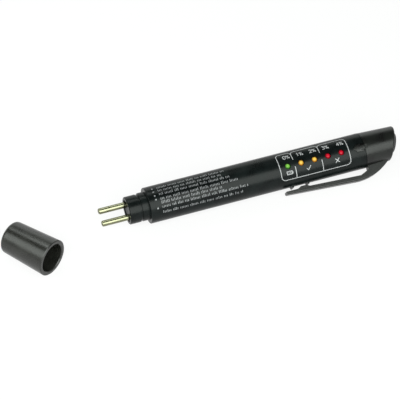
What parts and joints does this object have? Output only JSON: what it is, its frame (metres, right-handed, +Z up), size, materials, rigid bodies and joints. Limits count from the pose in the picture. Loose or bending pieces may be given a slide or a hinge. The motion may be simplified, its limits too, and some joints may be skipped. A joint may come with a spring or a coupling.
{
  "type": "brake fluid tester pen",
  "caption": "Pen-shaped fluid tester with metal probes at the nose, a row of lamps on a percent scale, a pull-off rear cover with pocket clip and push button, and a push-on cap lying beside it.",
  "frame": {"origin": "on the pen's axis, in the middle of the plain stretch of the nose spigot that the cap pushes onto", "axes": "+X along the pen from the probes to the push button, +Z up with the pen lying on its barrel and its clip"},
  "size_m": [0.2174, 0.0334, 0.0197],
  "materials": {
    "black_plastic": "satin-gloss moulded black",
    "dark_insulator": "matte moulded black",
    "probe_metal": "pale plated brass, turned",
    "lead_jacket": "soft wire jacket",
    "green_lens": "clear dyed lamp lens",
    "amber_lens": "clear dyed lamp lens",
    "red_lens": "clear dyed lamp lens",
    "cell_jacket": "plain printed jacket",
    "contact_metal": "plated spring steel",
    "board_laminate": "green board laminate",
    "chip_resin": "moulded resin",
    "print_ink": "light grey pad-printed ink"
  },
  "bodies": {
    "pen": {"barrel": "black_plastic", "probe_holder": "dark_insulator", "probe_upper": "probe_metal", "probe_lower": "probe_metal", "probe_lead_upper": "lead_jacket", "probe_lead_lower": "lead_jacket", "led_green": "green_lens", "led_amber_1": "amber_lens", "led_amber_2": "amber_lens", "led_red_1": "red_lens", "led_red_2": "red_lens", "board_carrier": "dark_insulator", "battery_cell": "cell_jacket", "battery_positive_cap": "contact_metal", "battery_front_contact": "contact_metal", "contact_strip": "contact_metal", "circuit_board": "board_laminate", "control_chip": "chip_resin", "chip_resistors": "chip_resin"},
    "rear_cover": {"rear_cover": "black_plastic", "contact_ring": "contact_metal", "battery_spring": "contact_metal"},
    "push_button": {"push_button": "black_plastic", "button_contact": "contact_metal"},
    "cap": {"cap": "black_plastic"}
  },
  "joints": [
    {"name": "cover_pull", "type": "slide", "parent": "pen", "child": "rear_cover", "axis": [1, 0, 0], "range_m": [0, 0.06]},
    {"name": "button_press", "type": "slide", "parent": "rear_cover", "child": "push_button", "axis": [-1, 0, 0], "range_m": [0, 0.001], "stiffness_N_per_m": 800, "springref_m": -0.001, "deforming": ["battery_spring"]},
    {"name": "cap_lift", "type": "slide", "parent": "pen", "child": "cap", "axis": [0, 0, 1], "range_m": [0, 0.06]}
  ]
}
